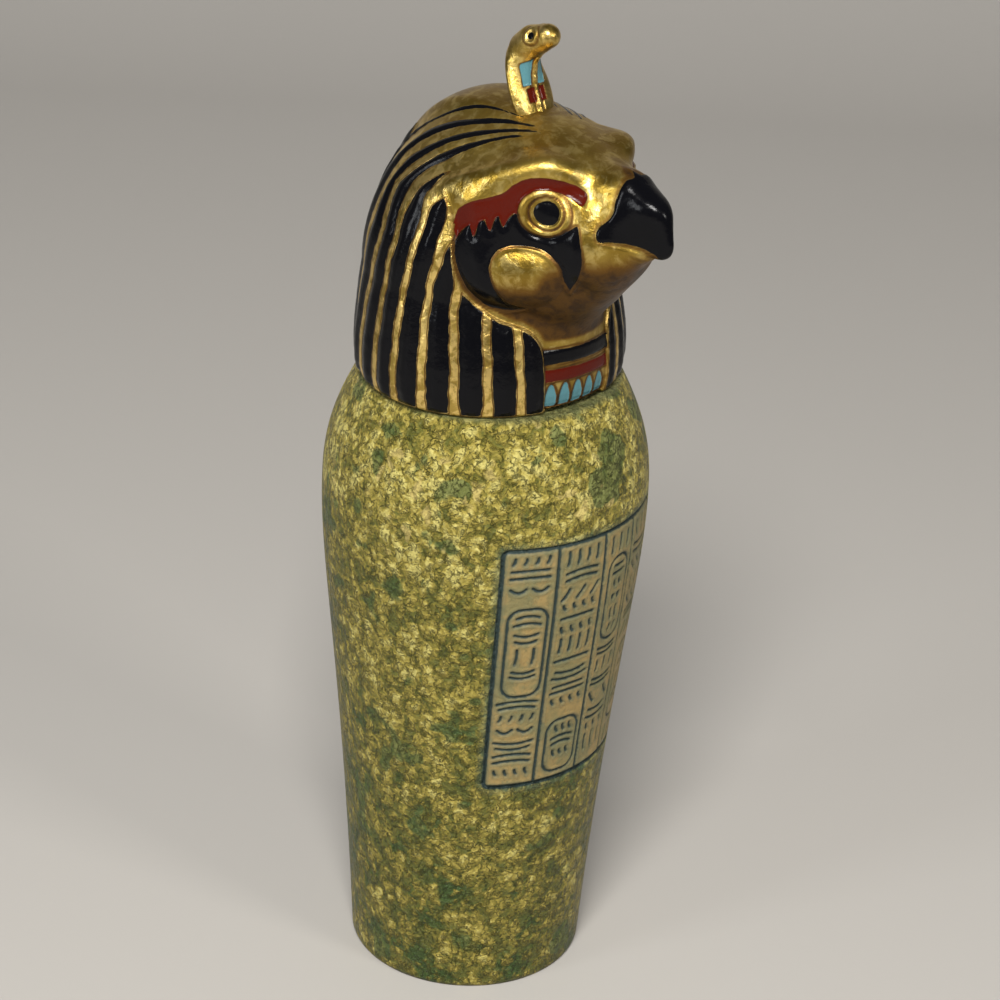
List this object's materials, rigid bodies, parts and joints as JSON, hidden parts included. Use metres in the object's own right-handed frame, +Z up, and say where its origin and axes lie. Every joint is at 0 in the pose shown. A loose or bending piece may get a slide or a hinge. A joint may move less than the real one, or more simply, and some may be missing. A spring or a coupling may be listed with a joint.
{
  "type": "canopic_jar",
  "caption": "Canopic jar with a falcon-headed lid, a painted cast-resin copy: green mottled vessel with an incised panel, gold and black striped headcloth, cobra at the brow",
  "frame": {"origin": "centre of the jar's flat underside", "axes": "+Z up along the jar's axis, -Y the way the falcon faces, +X to the falcon's left"},
  "size_m": [0.062, 0.0738, 0.1934],
  "materials": {
    "green_resin": "cast resin painted mottled olive green over ochre, satin",
    "antique_gold": "cast resin painted antique gold with black, red and turquoise details, brown wash in the recesses"
  },
  "bodies": {
    "root": {"jar_body": "green_resin", "falcon_lid": "antique_gold"}
  },
  "joints": []
}
